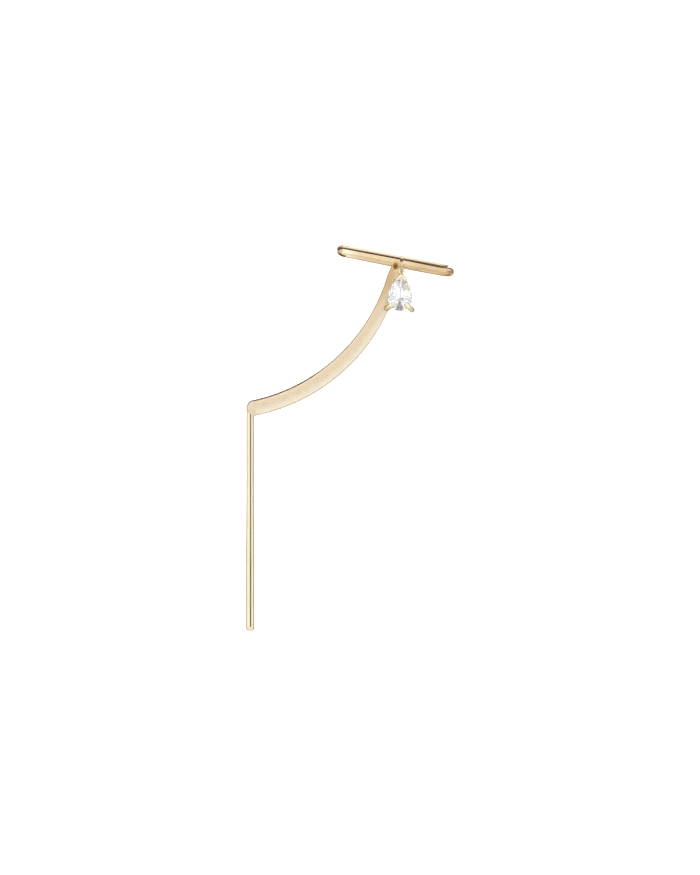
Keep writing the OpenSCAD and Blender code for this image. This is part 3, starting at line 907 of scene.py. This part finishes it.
GAIN = 1.2
PAPER = (1.05, 1.05, 1.05, 1)
world = bpy.data.worlds.new("studio_tent")
world.use_nodes = True
tree = world.node_tree
direction = add(tree, "ShaderNodeTexCoord").outputs["Generated"]
side_x, back_y, up_z = add(tree, "ShaderNodeSeparateXYZ", [(0, direction)]).outputs
level = math_node(tree, "ABSOLUTE", up_z, 0.0)
height = math_node(tree, "ADD", math_node(tree, "MULTIPLY", up_z, 0.5), 0.5)
cloth = ramp(tree, height, [
    (0.0, 0.9), (0.15, 0.8), (0.33, 0.76), (0.43, 0.9), (0.5, 0.98), (0.77, 0.97), (0.93, 0.93), (1.0, 0.98)])
opening = inside(tree, (back_y, 0.12, 0.3), (up_z, 0.12, 0.28), (side_x, 0.6, 0.3))
right_back = inside(tree, (side_x, 0.1, 0.25), (back_y, 0.7, 0.88), (up_z, -0.3, -0.1))
slit = inside(tree, (back_y, -0.5, -0.7), (side_x, -0.21, -0.13), (side_x, 0.52, 0.44), (up_z, -0.085, -0.072),
              (up_z, -0.012, -0.028))
lit = dimmed(
    tree, cloth, (opening, 0.99), (right_back, 0.65), (slit, 0.86),
    (inside(tree, (level, 0.45, 0.1), (back_y, 0.0, 0.4), (side_x, 0.0, -0.2)), 0.6),
    (inside(tree, (level, 0.45, 0.1), (back_y, -0.3, 0.2), (side_x, 0.0, 0.3)), 0.58),
    (inside(tree, (up_z, -0.3, -0.6), (back_y, 0.05, 0.4)), 0.55))
warm = add(tree, "ShaderNodeCombineColor", [
    (channel, math_node(tree, "MULTIPLY", math_node(tree, "POWER", lit, power), GAIN))
    for channel, power in enumerate((1.0, 1.12, 1.35))]).outputs[0]
through = dimmed(tree, 1.35, (inside(tree, (back_y, -0.95, -0.985)), 0.6), (opening, 0.3))
rays = add(tree, "ShaderNodeLightPath")
seen = add(tree, "ShaderNodeMix", [(0, rays.outputs["Is Transmission Ray"]), (6, warm), (7, through)],
           data_type="RGBA")
shown = add(tree, "ShaderNodeMix", [(0, rays.outputs["Is Camera Ray"]), (6, seen.outputs[2]), (7, PAPER)],
            data_type="RGBA")
background = tree.nodes["Background"]
tree.links.new(shown.outputs[2], background.inputs["Color"])
background.inputs["Strength"].default_value = 1.0
bpy.context.scene.world = world
bpy.context.scene.view_settings.view_transform = "Standard"
print("tent:", len(tree.nodes), "nodes")

# %% [markdown]
# A plain white floor lies well below the earring, which hangs in the air as it
# does in the photograph. One wide soft lamp overhead brings the floor to paper
# white. The lamp is kept out of the mirror, because the tent already lights the
# gold.

# %% The floor and the lamp
FLOOR_Z, FLOOR_HALF = -75.0, 4000.0


def plain_floor():
    """A square of one face with a matt white finish."""
    corner = np.array([[-1, -1, 0], [1, -1, 0], [1, 1, 0], [-1, 1, 0]]) * FLOOR_HALF + np.array([0, 0, FLOOR_Z])
    mesh = bpy.data.meshes.new("floor")
    mesh.from_pydata((corner * MM).tolist(), [], [(0, 1, 2, 3)])
    material = bpy.data.materials.new("white_floor")
    material.use_nodes = True
    shader = material.node_tree.nodes["Principled BSDF"]
    shader.inputs["Base Color"].default_value = (0.93, 0.93, 0.93, 1)
    shader.inputs["Roughness"].default_value = 0.9
    shader.inputs["Specular IOR Level"].default_value = 0.0
    mesh.materials.append(material)
    floor = bpy.data.objects.new("floor", mesh)
    bpy.context.scene.collection.objects.link(floor)
    floor.visible_glossy = floor.visible_transmission = False
    return floor


plain_floor()
lamp = bpy.data.lights.new("soft_overhead", "SUN")
lamp.energy, lamp.angle = 2.2, math.radians(60)
lamp_object = bpy.data.objects.new("soft_overhead", lamp)
bpy.context.scene.collection.objects.link(lamp_object)
lamp_object.visible_glossy = lamp_object.visible_transmission = False
print("floor at", FLOOR_Z, "mm, lamp", lamp.energy)

# %% [markdown]
# The photograph was taken square on with a long lens, from a very little above:
# the back run shows as a thin band over the front run. A long lens that far off
# draws almost no perspective, so an orthographic camera matches it. Nine pixels
# make a millimetre, which sets the height of the view.

# %% The camera
PIXELS_PER_MM = 9.0
PICTURE_HEIGHT = 875
LOOK_DOWN = math.radians(3.1)
VIEW_X, VIEW_UP, VIEW_BACK = -5.056, -19.63, 300

camera = bpy.data.cameras.new("camera")
camera.type = "ORTHO"
camera.ortho_scale = PICTURE_HEIGHT / PIXELS_PER_MM * MM
camera.clip_start, camera.clip_end = 0.001, 20.0
camera_object = bpy.data.objects.new("camera", camera)
bpy.context.scene.collection.objects.link(camera_object)
back = np.array([0, -math.cos(LOOK_DOWN), math.sin(LOOK_DOWN)])
up = np.array([0, math.sin(LOOK_DOWN), math.cos(LOOK_DOWN)])
place = (np.array([VIEW_X, 0, 0]) + VIEW_UP * up + VIEW_BACK * back) * MM
camera_object.location = place
camera_object.rotation_euler = (math.pi / 2 - LOOK_DOWN, 0, 0)
bpy.context.scene.camera = camera_object
print("camera at", np.round(place / MM, 1), "mm")
